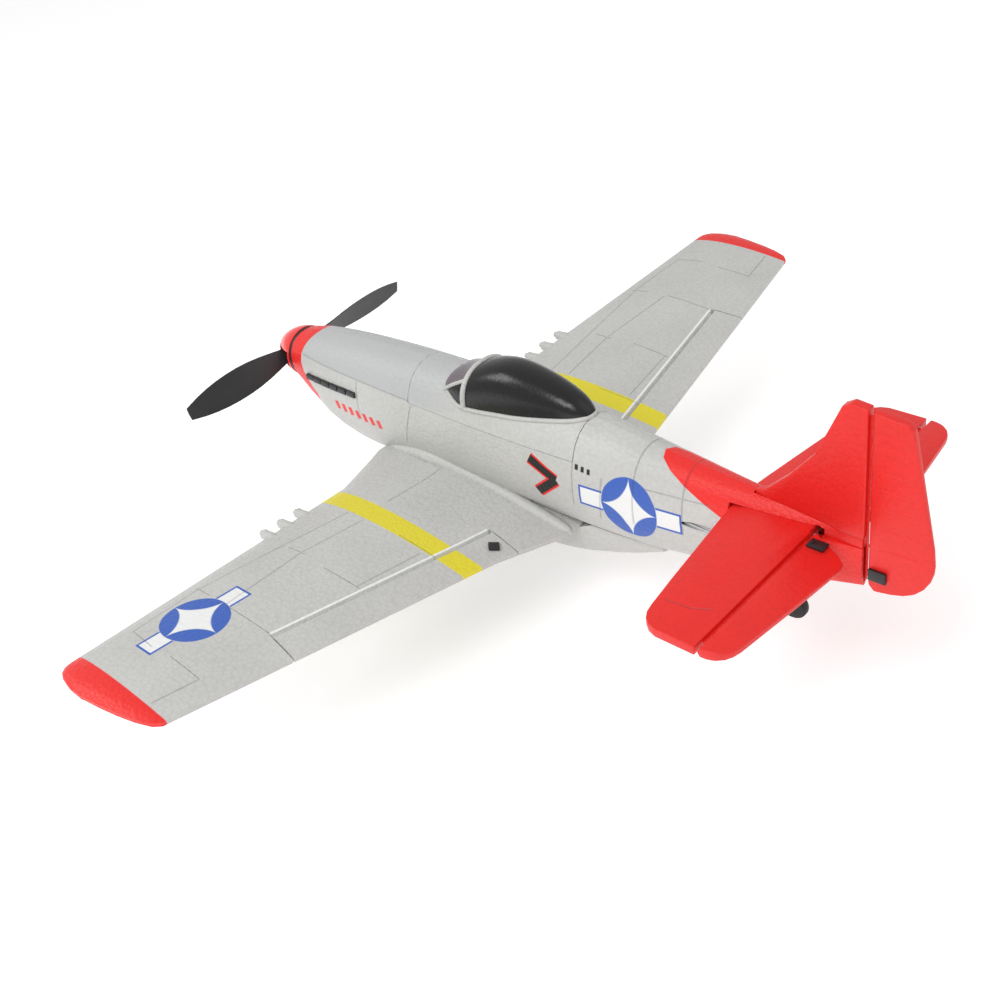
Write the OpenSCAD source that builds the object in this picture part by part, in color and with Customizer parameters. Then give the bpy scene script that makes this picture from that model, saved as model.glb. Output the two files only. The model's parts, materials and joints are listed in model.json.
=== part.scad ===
// Four-channel foam warbird with geared propeller, plug-in wire undercarriage and lift-off canopy.
// +X points to the nose, +Y to the left wing, +Z up; the level main wheels stand on Z = 0.

/* [Wing] */
// Wing span over both tips
wing_span = 400; // [392:1:404]
// Rise of each wing panel in degrees
dihedral = 7.66; // [7:0.1:8]
// Chord height of the flat centre section
wing_z = 43.4; // [43:0.1:43.8]
// Thickness of the wing at the root, as a part of its chord
root_thick = 0.098; // [0.09:0.002:0.106]
// Thickness of the wing near the tip, as a part of its chord
tip_thick = 0.088; // [0.08:0.002:0.096]

/* [Fuselage] */
// Foam wall of the fuselage shells
wall = 3; // [2.6:0.1:3.2]
// Squareness of the fuselage section, 2 is an ellipse
section_power = 2.25; // [2.1:0.05:2.5]
// Height of the propeller shaft
thrust_z = 73; // [72.8:0.1:73.2]

/* [Tail] */
// Height of the middle of the tailplane
stab_z = 79.3; // [79:0.1:79.6]
// Thickness of the tailplane foam
stab_t = 3.6; // [3:0.1:4]
// Thickness of the fin foam
fin_t = 4; // [3.4:0.1:4.4]

/* [Propeller] */
// Diameter of the two-blade propeller
prop_d = 134; // [120:1:136]
// Diameter of the propeller shaft
shaft_d = 2; // [2:0.5:2]
// Teeth on the spur gear
spur_teeth = 36; // [36:1:36]
// Teeth on the motor pinion
pinion_teeth = 9; // [9:1:9]

/* [Undercarriage] */
// Outer diameter of a main wheel
wheel_d = 23; // [21:1:25]
// Diameter of the leg and pushrod socket wire
leg_d = 1.6; // [1.4:0.1:1.8]
// Distance of each leg socket from the centre line
leg_y = 55; // [54:0.5:56]

/* [Hidden] */
$fn = 48;

silver = [0.74, 0.74, 0.72];
red = [0.9, 0.16, 0.14];
black = [0.12, 0.12, 0.12];
white = [0.92, 0.92, 0.9];
steel = [0.7, 0.72, 0.74];
gap = 0.1;          // glue line between two foam pieces

// ---------- fuselage lines: station, top, bottom, half width, height of the widest point
lines = [
  [-145, 83, 60.5, 2.2, 72], [-125, 84.2, 55.5, 5.2, 71], [-100, 85.8, 50, 8.8, 69],
  [-60, 89.2, 43.8, 13.8, 66.5], [-22, 93, 42.8, 17, 66], [20, 94.4, 44.4, 18.4, 66],
  [60, 94.2, 43.8, 18.3, 66.4], [92, 92.6, 38.7, 17.7, 67.6], [115, 90.6, 39.7, 16.6, 69.4],
  [132, 88.6, 45.8, 14.9, 71.4], [143, 86.6, 56, 13, 73], [148, 85.2, 60.8, 12.2, 73]
];
fus_tail = lines[0][0];
fus_nose = 148;
hatch_rear = -29;
hatch_front = 62;
sill_z = 79.4;
fit_gap = 0.3;      // all round the lift-off hatch
half_steps = 12;
long_steps = 30;

function slope(tab, i, c) =
  i == 0 ? (tab[1][c] - tab[0][c]) / (tab[1][0] - tab[0][0]) :
  i == len(tab) - 1 ? (tab[i][c] - tab[i - 1][c]) / (tab[i][0] - tab[i - 1][0]) :
  (tab[i + 1][c] - tab[i - 1][c]) / (tab[i + 1][0] - tab[i - 1][0]);
function row_of(tab, x, i = 0) = i >= len(tab) - 2 || x <= tab[i + 1][0] ? i : row_of(tab, x, i + 1);
// smooth cubic through the rows of a table
function fair(tab, x, c) =
  let (i = row_of(tab, x), a = tab[i], b = tab[i + 1], h = b[0] - a[0], t = (x - a[0]) / h)
  (2 * t ^ 3 - 3 * t ^ 2 + 1) * a[c] + (t ^ 3 - 2 * t ^ 2 + t) * h * slope(tab, i, c)
  + (3 * t ^ 2 - 2 * t ^ 3) * b[c] + (t ^ 3 - t ^ 2) * h * slope(tab, i + 1, c);
function lerp(a, b, t) = a + (b - a) * t;
function clamp01(t) = min(1, max(0, t));

function body_top(x) = fair(lines, x, 1);
function body_low(x) = fair(lines, x, 2);
function body_half(x) = fair(lines, x, 3);
function body_mid(x) = fair(lines, x, 4);
function wall_at(x) = min(wall, 0.55 * body_half(x));
// point of the section at station x, turned a degrees up from the +Y side, inside by d
function section_pt(x, a, d = 0) =
  let (w = body_half(x) - d, m = body_mid(x), p = 2 / section_power,
       r = (a >= 0 ? body_top(x) - d - m : m - body_low(x) - d))
  [x, w * pow(max(cos(a), 0), p), m + sign(a) * r * pow(abs(sin(a)), p)];
// height of the skin above or below a point
function skin_z(x, y, up, d = 0) =
  let (w = body_half(x) + d, m = body_mid(x), f = pow(max(0, 1 - pow(abs(y) / w, section_power)), 1 / section_power))
  up ? m + (body_top(x) + d - m) * f : m - (m - body_low(x) + d) * f;
function stations(a, b, n) = [for (i = [0:n]) lerp(a, b, i / n)];

// solid skinned over rings with equal point counts, clockwise seen from the far end;
// a twisted one is split into triangles
module skin(rings, split = false) {
  n = len(rings[0]);
  last = len(rings) - 1;
  cuts = split ? [[0, 1, 2], [0, 2, 3]] : [[0, 1, 2, 3]];
  sides = [for (i = [0:last - 1], j = [0:n - 1], cut = cuts)
    let (q = [i * n + j, i * n + (j + 1) % n, (i + 1) * n + (j + 1) % n, (i + 1) * n + j])
    [for (k = cut) q[k]]];
  // each end is a strip of quads between the two halves of its ring
  strip = [for (j = [0:n / 2 - 2]) [j, j + 1, n - 2 - j, n - 1 - j]];
  polyhedron(
    points = [for (r = rings, p = r) p],
    faces = concat([for (q = strip) [q[3], q[2], q[1], q[0]]], sides, [for (q = strip) [for (j = q) last * n + j]]),
    convexity = 8);
}

module side(s) {
  mirror([0, s < 0 ? 1 : 0, 0]) children();
}

// ---------- wing lines
root_y = 18;        // half width of the flat centre section
crank_y = 50;
tip_y = 190;
foil_steps = 11;
half_span = wing_span / 2;
function lead_x(y) = y < crank_y ? lerp(90.9, 77.4, (y - root_y) / (crank_y - root_y))
  : 77.4 - (y - crank_y) * 0.1264;
function trail_x(y) = y < crank_y ? lerp(-23.4, -14.3, (y - root_y) / (crank_y - root_y))
  : -14.3 + (y - crank_y) * 0.137;
function plane_z(y) = wing_z + max(0, abs(y) - root_y) * tan(dihedral);
function foil_half(s, t) =
  5 * t * (0.2969 * sqrt(s) - 0.126 * s - 0.3516 * s ^ 2 + 0.2843 * s ^ 3 - 0.1036 * s ^ 4);
function foil_camber(s) = 0.075 * s * (1 - s);
trail_half = 0.9;
lead_half = 0.15;
// ring of the wing section at y, pulled in for the rounded tip
function wing_ring(y, yy, swell = 1, lead = undef, trail = undef, t = undef) =
  let (x0 = is_undef(lead) ? lead_x(y) : lead, x1 = is_undef(trail) ? trail_x(y) : trail, c = x0 - x1,
       tt = swell * (is_undef(t) ? lerp(root_thick, tip_thick, y / tip_y) : t),
       top = [for (i = [0:foil_steps]) let (s = (1 - cos(180 * i / foil_steps)) / 2)
         [x0 - s * c, yy, plane_z(yy) + c * (foil_camber(s) + foil_half(s, tt)) + trail_half * s + lead_half * (1 - s)]],
       low = [for (i = [foil_steps:-1:0]) let (s = (1 - cos(180 * i / foil_steps)) / 2)
         [x0 - s * c, yy, plane_z(yy) + c * (foil_camber(s) - foil_half(s, tt)) - trail_half * s - lead_half * (1 - s)]])
  concat(top, low);
// rounded tip: u runs 0 to 1 from the tip station to the outermost point
function tip_ring(u) =
  let (k0 = pow(1 - min(u, 0.985) ^ 4, 0.5), k1 = max(0.08, pow(1 - u ^ 1.8, 0.8)),
       x0 = lead_x(tip_y) - 1.2 * u, x1 = trail_x(tip_y), xm = lerp(x0, x1, 0.3))
  wing_ring(tip_y, lerp(tip_y, half_span, u), 1, lerp(xm, x0, k0), lerp(xm, x1, k1), tip_thick);
root_swell = 1.22;
module wing_panel() {
  skin(concat(
    [wing_ring(root_y, 0, root_swell), wing_ring(root_y, root_y, root_swell), wing_ring(20, 20, 1.16)],
    [for (y = [24, 30, 38, crank_y, 66, 82, 98, 114, 130, 145, 160, 175, tip_y]) wing_ring(y, y, y < 25 ? 1.06 : 1)],
    [for (u = [0.25, 0.5, 0.7, 0.86, 0.96, 1]) tip_ring(u)]));
}
// the flat centre section as a prism, reaching y either side
module wing_saddle(reach) {
  ring = wing_ring(root_y, 0, root_swell);
  translate([0, reach, 0]) rotate([90, 0, 0])
    linear_extrude(2 * reach) polygon([for (p = ring) [p[0], p[2]]]);
}
function saddle_low(x) =
  let (s = clamp01((lead_x(root_y) - x) / (lead_x(root_y) - trail_x(root_y))), c = lead_x(root_y) - trail_x(root_y),
       t = root_swell * lerp(root_thick, tip_thick, root_y / tip_y))
  wing_z + c * (foil_camber(s) - foil_half(s, t)) - trail_half * s - lead_half * (1 - s);

// ---------- aileron
ail_in = 38;
ail_out = 138;
function hinge_x(y) = -0.3 + (y - ail_in) * 0.13;
ail_a = [hinge_x(ail_in), ail_in, plane_z(ail_in) + 0.9];
ail_b = [hinge_x(ail_out), ail_out, plane_z(ail_out) + 0.7];
ail_len = norm(ail_b - ail_a);
// frame whose X runs aft of the hinge line, Y up and Z outboard along it
module on_aileron_hinge() {
  d = ail_b - ail_a;
  translate(ail_a) rotate([0, 0, atan2(d[1], d[0])]) rotate([0, 90 - atan2(d[2], norm([d[0], d[1]])), 0])
    rotate([0, 0, 90]) children();
}
module aileron_wedge() {
  bevel = tan(26);
  on_aileron_hinge() linear_extrude(ail_len)
    polygon([[0.35, 0], [0.35 + 12 * bevel, 12], [60, 12], [60, -12], [0.35 + 12 * bevel, -12]]);
}
module aileron_slot() {
  on_aileron_hinge() translate([-0.6, -14, -0.6]) cube([70, 28, ail_len + 1.2]);
}

// ---------- fuselage pieces
rod_y = 13.8;       // elevator pushrod beside its horn
rod_in = 6.6;       // and beside its servo arm
rud_rod_y = 10.8;
rud_rod_in = 7;
elev_hinge_x = -128.8;
rud_hinge_x = -146;
elev_arm = 11.6;
rud_arm = 10.8;
elev_rod_z = stab_z - elev_arm;
rud_rod_z = 68.6;
rod_r = 0.5;

module half_shell() {
  xs = stations(fus_tail, fus_nose, long_steps);
  outer = function (x) [for (k = [0:half_steps]) section_pt(x, 90 - 180 * k / half_steps)];
  inner = function (x) [for (k = [half_steps:-1:0]) section_pt(x, 90 - 180 * k / half_steps, wall_at(x))];
  difference() {
    skin([for (x = xs) concat(outer(x), inner(x))]);
    wing_saddle(30);
    translate([hatch_rear, -1, sill_z]) cube([hatch_front - hatch_rear, 40, 40]);
    translate([-160, -1, stab_z - stab_t / 2 - gap]) cube([160 - 95.5, 20, stab_t + 2 * gap]);
    translate([-160, -1, stab_z]) cube([160 - 102.6, 1 + fin_t / 2 + gap, 40]);
    translate([elev_hinge_x, -1, stab_z]) rotate([-90, 0, 0]) cylinder(r = 2.4, h = 20);
    children();
  }
}
// frame at the tail end of a pushrod with X along it towards the servo
module on_rod(x0, y0, x1, y1, z) {
  translate([x0, y0, z]) rotate([0, 0, atan2(y1 - y0, x1 - x0)]) children();
}
module on_elevator_rod() { on_rod(elev_hinge_x, rod_y, elev_servo_x, rod_in, elev_rod_z) children(); }
module on_rudder_rod() { on_rod(rud_hinge_x, rud_rod_y, rud_servo_x, rud_rod_in, rud_rod_z) children(); }
tunnel = 110;       // length of the drilled way in each shell
module rod_tunnel() { rotate([0, 90, 0]) cylinder(r = 1.4, h = tunnel); }
module fuselage_left() {
  color(silver) half_shell() on_elevator_rod() rod_tunnel();
}
module fuselage_right() {
  color(silver) mirror([0, 1, 0]) half_shell() on_rudder_rod() rod_tunnel();
}
scoop = [[-62, 41.6, 5.5], [-45, 33.6, 8], [-20, 25, 9.6], [5, 21, 10.4], [28, 21.4, 10.4], [41, 24, 10]];
module belly_scoop() {
  n = 10;
  roof = function (x, y) (x < trail_x(root_y) ? skin_z(x, y, false) : saddle_low(x)) - 2 * gap;
  ring = function (x) let (w = fair(scoop, x, 2), low = fair(scoop, x, 1), brim = roof(x, w) - 0.6)
    concat(
      [for (k = [n:-1:0]) let (a = 180 * k / n)
        [x, w * sign(cos(a)) * pow(abs(cos(a)), 0.75), brim - (brim - low) * pow(sin(a), 0.8)]],
      [for (k = [0:n]) let (y = w * cos(180 * k / n)) [x, y, roof(x, y)]]);
  color(silver) difference() {
    skin([for (x = stations(-62, 41, 16)) ring(x)]);
    translate([32, -6.6, 26.6]) cube([20, 13.2, 8.6]);
  }
}
// three gun fairings standing out of the leading edge
gun_ys = [74.6, 84.4, 94.2];
module guns() {
  for (y = gun_ys) translate([lead_x(y) - 8, y, plane_z(y) + 0.6]) rotate([0, 90, 0]) {
    cylinder(r = 2.2, h = 10.8);
    translate([0, 0, 10]) cylinder(r = 1.3, h = 2.6);
  }
}
module wing_left() {
  color(silver) difference() {
    union() {
      wing_panel();
      guns();
    }
    aileron_slot();
    translate([leg_x, leg_y, plane_z(leg_y) - 8]) cylinder(r = 3.05, h = 10);
    translate([servo_x - 12, servo_y - 3, plane_z(servo_y) - 12]) cube([21, 18.2, 15.8]);
    spar_channel(2.15);
  }
}
module wing_right() { mirror([0, 1, 0]) wing_left(); }
spar_x = 47;
module spar_channel(w) {
  translate([spar_x, 0, wing_z + 0.6]) translate([-w / 2, -1, -w / 2]) cube([w, root_y + 1, w]);
  translate([spar_x, root_y, wing_z + 0.6]) rotate([dihedral, 0, 0]) translate([-w / 2, -0.4, -w / 2]) cube([w, 110, w]);
}
module wing_spars() {
  color(black) for (s = [-1, 1]) side(s) translate([spar_x, root_y, wing_z + 0.6]) rotate([dihedral, 0, 0])
    translate([-1, 0.4, -1]) cube([2, 109, 2]);
}

// ---------- tail surfaces
stab_plan = [[-96, 0], [-96.2, 8], [-105.2, 66], [-106, 69.4], [-107.5, 72], [-109.8, 73.9], [-113, 75], [-128.2, 75], [-128.2, 6.4], [-127.6, 6.4], [-127.6, 0]];
elev_plan = [[-129.2, 5.6], [-129.2, 75], [-132.6, 74.7], [-135.4, 73.8], [-137.8, 72], [-139.3, 69.6], [-140.1, 66.6], [-143.5, 39.3],
  [-145.8, 17.5], [-145, 14.6], [-142.4, 12.6]];
module stabiliser() {
  h = stab_t / 2;
  color(red) for (s = [-1, 1]) side(s) intersection() {
    translate([0, 0, stab_z - 10]) linear_extrude(20) polygon(stab_plan);
    translate([0, 80, stab_z]) rotate([90, 0, 0]) linear_extrude(80)
      polygon([[-95, 0.2], [-97.5, 0.9], [-103, h], [-128.2, h], [-128.2, -h], [-103, -h], [-97.5, -0.9], [-95, -0.2]]);
  }
}
module elevator_half() {
  h = stab_t / 2;
  intersection() {
    translate([0, 0, stab_z - 10]) linear_extrude(20) polygon(elev_plan);
    translate([0, 80, stab_z]) rotate([90, 0, 0]) linear_extrude(80)
      polygon([[-129.2, 0], [-130.1, h], [-134, h], [-148, 0.7], [-148, -0.7], [-134, -h], [-130.1, -h]]);
  }
}
module elevator_left() { color(red) elevator_half(); }
module elevator_right() { color(red) mirror([0, 1, 0]) elevator_half(); }
// wire joiner on the hinge line, each end turned aft against its half
module elevator_joiner() {
  y = 5.5;
  color(steel) {
    translate([elev_hinge_x, -y, stab_z]) rotate([-90, 0, 0]) cylinder(r = 0.5, h = 2 * y);
    for (s = [-1, 1]) side(s) translate([elev_hinge_x - 1.6, y - 0.7, stab_z - 0.5]) cube([1.6, 0.7, 1]);
  }
}
fin_side = [[-102.8, 81.3], [-102.8, 86.2], [-107, 87.8], [-116, 96.8], [-126.6, 109.6], [-136.2, 131.2], [-139.4, 133.2],
  [-145.4, 132.6], [-145.4, 84.4], [-145.2, 81.3]];
module fin() {
  h = fin_t / 2;
  color(red) intersection() {
    translate([0, 10, 0]) rotate([90, 0, 0]) linear_extrude(20) polygon(fin_side);
    translate([0, 0, 80]) linear_extrude(60)
      polygon([[-100, 0.5], [-104, 1.6], [-108, h], [-145.4, h], [-145.4, -h], [-108, -h], [-104, -1.6], [-100, -0.5]]);
  }
}
rud_side = [[-146.4, 132.4], [-158.4, 131], [-160.4, 129.4], [-163.6, 113], [-169.2, 86], [-169.9, 79.4],
  [-169.7, 76], [-168.7, 72.2], [-166.7, 68.4], [-163.8, 65.2], [-160, 63], [-155.4, 61.7], [-149.4, 60.8], [-146.4, 64.2]];
module rudder() {
  h = fin_t / 2;
  color(red) intersection() {
    translate([0, 10, 0]) rotate([90, 0, 0]) linear_extrude(20) polygon(rud_side);
    translate([0, 0, 55]) linear_extrude(80)
      polygon([[-146.4, 0], [-147.6, h], [-151, h], [-171, 0.8], [-171, -0.8], [-151, -h], [-147.6, -h]]);
  }
}
module hinge_strips() {
  color(silver) for (s = [-1, 1]) side(s) on_aileron_hinge()
    translate([-0.6, -0.2, 3]) cube([0.75, 0.4, ail_len - 6]);
  color(red) for (s = [-1, 1]) side(s)
    translate([-129, 10, stab_z - 0.2]) cube([0.8, 60, 0.4]);
  color(red) translate([-146.2, -0.2, 65]) cube([0.8, 0.4, 65]);
}

// ---------- canopy hatch
dome = [[-28.7, 94.2, 2.4], [-24, 98.2, 6], [-14, 102, 9.2], [0, 105, 11.9], [12, 105.6, 13.2],
  [24, 102.8, 14.2], [33, 98.6, 14.2], [42, 95.6, 11]];
module canopy() {
  n = 12;
  lift = 0.1;
  ring = function (x) let (w = fair(dome, x, 2), brim = skin_z(x, w, true) + lift + 0.5, top = fair(dome, x, 1))
    concat(
      [for (k = [n:-1:0]) let (a = 180 * k / n)
        [x, w * sign(cos(a)) * pow(abs(cos(a)), 0.85), brim + (top - brim) * pow(sin(a), 0.85)]],
      [for (k = [0:n]) let (y = w * cos(180 * k / n)) [x, y, skin_z(x, y, true) + lift]]);
  color(black) skin([for (x = stations(dome[0][0], dome[7][0], 18)) ring(x)]);
}
module hatch_deck() {
  n = 14;
  low = sill_z + fit_gap;
  start = function (x, d) let (m = body_mid(x)) asin(pow(clamp01((low - m) / (body_top(x) - d - m)), section_power / 2));
  arch = function (x, d) let (a0 = start(x, d))
    [for (k = [n:-1:0]) let (a = lerp(a0, 180 - a0, k / n), p = section_pt(x, a > 90 ? 180 - a : a, d))
      [x, a > 90 ? -p[1] : p[1], p[2]]];
  ring = function (x) concat(arch(x, 0), [for (i = [n:-1:0]) arch(x, wall)[i]]);
  color(silver) skin([for (x = stations(hatch_rear + fit_gap, hatch_front - fit_gap, 16)) ring(x)]);
}
catch_x = 55;
module hatch_catch() {
  color(black) translate([catch_x - 4, -12.6, sill_z + 1]) cube([8, 25.2, 1.6]);
  color(steel) for (y = [-7, 7]) translate([catch_x, y, sill_z - 1.1]) cylinder(r = 2.5, h = 2);
}
module fuselage_catch() {
  color(black) translate([catch_x - 4, -14.4, sill_z - 5]) cube([8, 28.8, 1.6]);
  color(steel) for (y = [-7, 7]) translate([catch_x, y, sill_z - 3.3]) cylinder(r = 2.5, h = 2);
}

// ---------- power train
module_mm = 0.35;
gear_x = 125.2;
gear_w = 3;
spur_r = spur_teeth * module_mm / 2;
pinion_r = pinion_teeth * module_mm / 2;
motor_z = thrust_z - spur_r - pinion_r;
shaft_r = shaft_d / 2;
module along_x(x, y, z) { translate([x, y, z]) rotate([0, 90, 0]) children(); }
// outline of a small spur gear, first tooth turned by phase
module gear_outline(n, phase) {
  r = n * module_mm / 2;
  ro = r + 0.75 * module_mm;
  ri = r - 1.15 * module_mm;
  step = 360 / n;
  polygon([for (i = [0:n - 1], p = [[-0.33, ri], [-0.12, ro], [0.12, ro], [0.33, ri]])
    let (a = phase + (i + p[0]) * step) [p[1] * cos(a), p[1] * sin(a)]]);
}
module spur_gear() {
  color(white) along_x(gear_x, 0, thrust_z) difference() {
    union() {
      linear_extrude(gear_w) gear_outline(spur_teeth, 0);
      cylinder(r = 2.4, h = gear_w + 2);
    }
    translate([0, 0, -1]) cylinder(r = shaft_r, h = gear_w + 5);
  }
}
module pinion_gear() {
  color(steel) along_x(gear_x, 0, motor_z) difference() {
    linear_extrude(gear_w) gear_outline(pinion_teeth, 180 + 180 / pinion_teeth);
    translate([0, 0, -1]) cylinder(r = 0.4, h = gear_w + 2);
  }
  color(steel) along_x(gear_x - 2.6, 0, motor_z) cylinder(r = 0.4, h = gear_w + 2.6);
}
module motor_can() {
  color(steel) along_x(gear_x - 24, 0, motor_z) difference() {
    cylinder(r = 4.25, h = 20);
    translate([0, 0, 17]) cylinder(r = 0.6, h = 4);
  }
}
module motor_frame() {
  color(black) {
    along_x(145.4, 0, thrust_z) difference() {
      cylinder(r = 9.3, h = 2);
      translate([0, 0, -1]) cylinder(r = 2.5, h = 5);
    }
    for (a = [40, 140]) along_x(123.2, 8.1 * cos(a), thrust_z + 8.1 * sin(a)) cylinder(r = 0.9, h = 22.4);
    difference() {
      translate([121.2, -8.6, motor_z - 6]) cube([2, 17.2, thrust_z - motor_z + 14]);
      along_x(119, 0, thrust_z) cylinder(r = 2.5, h = 6);
      along_x(119, 0, motor_z) cylinder(r = 1.5, h = 6);
    }
    difference() {
      along_x(113, 0, motor_z) cylinder(r = 5.8, h = 8.2);
      along_x(112, 0, motor_z) cylinder(r = 4.3, h = 12);
    }
  }
}
module shaft_bearings() {
  color(steel) for (x = [121.2, 145.4]) along_x(x, 0, thrust_z) difference() {
    cylinder(r = 2.5, h = 2);
    translate([0, 0, -1]) cylinder(r = shaft_r + 0.03, h = 4);
  }
}
module prop_shaft() {
  color(steel) along_x(119.6, 0, thrust_z) cylinder(r = shaft_r, h = 44);
}
spin_x = 149.2;
spin_r = 12.2;
nose_tip = 169.9;
module spinner_backplate() {
  color(black) along_x(spin_x - 0.6, 0, thrust_z) difference() {
    cylinder(r = spin_r - 0.2, h = 1.6);
    translate([0, 0, -1]) cylinder(r = shaft_r, h = 4);
  }
}
// spinner wall between two blunt ogives
function ogive(u, r, l) = [r * pow(max(0, 1 - pow(u, 1.65)), 0.78), l * u];
module spinner() {
  n = 16;
  l = nose_tip - spin_x - 1.2;
  color(red) difference() {
    along_x(spin_x + 1.2, 0, thrust_z) rotate_extrude()
      polygon(concat([for (i = [0:n]) ogive(i / n, spin_r, l)], [for (i = [n:-1:0]) ogive(i / n, spin_r - 1.3, l - 1.4)]));
    for (s = [0, 180]) translate([spin_x + 2.4, 0, thrust_z]) rotate([prop_rest + s, 0, 0])
      translate([0, 3, -4.4]) cube([11.2, 14, 8.8]);
  }
}
prop_x = 157.4;
blade = [[3.4, 6, 40, 3.2], [10, 7.2, 40, 2.6], [20, 11, 34, 2], [32, 13.8, 27, 1.7], [45, 13.8, 22, 1.4],
  [57, 11, 18, 1.2], [67, 6, 16, 0.9]];
prop_rest = -1.4;   // the blades rest this far from level
module prop_blade() {
  n = 7;
  r_tip = prop_d / 2;
  ring = function (r) let (q = r * 67 / r_tip, c = fair(blade, q, 1), a = fair(blade, q, 2), t = fair(blade, q, 3))
    let (foil = concat(
      [for (i = [0:n]) let (s = (1 - cos(180 * i / n)) / 2) [c * (s - 0.5), t * (0.12 + 2.9 * s * (1 - s))]],
      [for (i = [n:-1:0]) let (s = (1 - cos(180 * i / n)) / 2) [c * (s - 0.5), -t * (0.12 + 0.35 * s * (1 - s))]]))
    [for (p = foil) [p[0] * sin(a) + p[1] * cos(a), r, p[0] * cos(a) - p[1] * sin(a)]];
  skin([for (r = concat(stations(3.4, 60, 9), [64, 66.4, 67])) ring(r * r_tip / 67)], true);
}
module propeller() {
  color(black) translate([prop_x, 0, thrust_z]) rotate([prop_rest, 0, 0]) {
    prop_blade();
    rotate([180, 0, 0]) prop_blade();
    along_x(-3.4, 0, 0) difference() {
      cylinder(r = 4.2, h = 6.8);
      translate([0, 0, -1]) cylinder(r = shaft_r, h = 10);
    }
  }
}
module prop_nut() {
  color(steel) along_x(prop_x + 3.6, 0, thrust_z) difference() {
    cylinder(r = 2.4, h = 2.6);
    translate([0, 0, -1]) cylinder(r = shaft_r, h = 5);
  }
}
module exhaust_stacks() {
  color(black) for (s = [-1, 1]) side(s) for (i = [0:5]) {
    x = 99.6 + i * 6.3;
    z = 73 - i * 0.28;
    translate([x, skin_y(x, z) + 0.15, z]) rotate([0, 0, -4]) translate([-2.6, 0, -1.5]) cube([5.2, 1.7, 3]);
  }
}
// half width of the skin at a height
function skin_y(x, z) =
  let (m = body_mid(x), r = z > m ? body_top(x) - m : m - body_low(x))
  body_half(x) * pow(max(0, 1 - pow(abs(z - m) / r, section_power)), 1 / section_power);

// ---------- equipment
tray_z = 52.5;       // the tray lies on the wing
tray_t = 1.4;
module battery() {
  color([0.2, 0.45, 0.75]) translate([56, -8.5, tray_z + tray_t]) cube([43, 17, 11]);
}
module battery_tray() {
  color(white) translate([22, -9, tray_z]) cube([79, 18, tray_t]);
}
// circuit board on a foam pad
module flight_board() {
  z = tray_z + tray_t;
  color(black) translate([30, -6, z]) cube([18, 12, 1.6]);
  color([0.1, 0.4, 0.2]) translate([26, -8.5, z + 1.6]) cube([26, 17, 1.2]);
  color(black) for (p = [[29, -5], [38, -1]]) translate([p[0], p[1], z + 2.8]) cube([6, 6, 1]);
  color(white) for (i = [0:3]) translate([46, -8 + i * 4.2, z + 2.8]) cube([5, 3.4, 3]);
}
// plate across the fuselage under both tail servos
module servo_tray() {
  z = stab_z - 4.1 - 1.2;
  color(white) {
    translate([-28.4, -12.6, z]) cube([27.4, 16, 1.2]);
    translate([-1, -3.2, z]) cube([24, 16.8, 1.2]);
  }
}
// micro servo on its side, its output along +Y at the origin
module servo(l, deep, thick) {
  difference() {
    union() {
      translate([-5, -deep, -thick / 2]) cube([l, deep - 0.8, thick]);
      translate([-8, -deep + 9, -thick / 2]) cube([l + 6, 1.2, thick]);
    }
    translate([0, -3, 0]) rotate([-90, 0, 0]) cylinder(r = 1.55, h = 4);
  }
}
// arm with its output stub, hanging down; the rod's hole is len below the pivot
module servo_arm(len) {
  difference() {
    union() {
      translate([0, 0.3, 0]) rotate([-90, 0, 0]) cylinder(r = 2.4, h = 1.2);
      translate([0, -2.4, 0]) rotate([-90, 0, 0]) cylinder(r = 1.5, h = 3);
      translate([-1.9, 0.3, -len]) cube([3.8, 1.2, len]);
      translate([0, 0.3, -len]) rotate([-90, 0, 0]) cylinder(r = 2.1, h = 1.2);
    }
    translate([0, -1, -len]) rotate([-90, 0, 0]) cylinder(r = 1.3, h = 5);
  }
}
elev_servo_x = -20;
rud_servo_x = 5;
arm_face = 1.5;      // the arm's outer face stands this far out of the servo pivot plane
arm_pivot_y = rod_in - arm_face - 0.9;
rud_pivot_y = rud_rod_in - arm_face - 0.9;
module elevator_servo() {
  color([0.15, 0.3, 0.7]) translate([elev_servo_x, arm_pivot_y, stab_z]) servo(19, 13.5, 8.2);
}
module elevator_arm() {
  color(white) translate([elev_servo_x, arm_pivot_y, stab_z]) servo_arm(elev_arm);
}
module rudder_servo() {
  color([0.15, 0.3, 0.7]) mirror([0, 1, 0]) translate([rud_servo_x, rud_pivot_y, rud_rod_z + rud_arm]) servo(19, 13.5, 8.2);
}
module rudder_arm() {
  color(white) mirror([0, 1, 0]) translate([rud_servo_x, rud_pivot_y, rud_rod_z + rud_arm]) servo_arm(rud_arm);
}
// straight wire along X, its ends bent inwards, or the first one upwards
module pushrod(length, in0, in1, up = 0) {
  rotate([0, 90, 0]) cylinder(r = rod_r, h = length);
  for (e = [[0, in0], [length, in1]]) if (e[1] > 0)
    translate([e[0], -e[1], 0]) rotate([-90, 0, 0]) cylinder(r = 0.4, h = e[1]);
  if (up > 0) cylinder(r = 0.4, h = up);
  for (x = [0, length]) translate([x, 0, 0]) sphere(r = rod_r);
}
module elevator_rod() {
  color(steel) on_elevator_rod() pushrod(norm([elev_servo_x - elev_hinge_x, rod_in - rod_y]), 2.4, 2.4);
}
module rudder_rod() {
  color(steel) mirror([0, 1, 0]) on_rudder_rod()
    pushrod(norm([rud_servo_x - rud_hinge_x, rud_rod_in - rud_rod_y]), 0, 2.4, 2.6);
}
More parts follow.
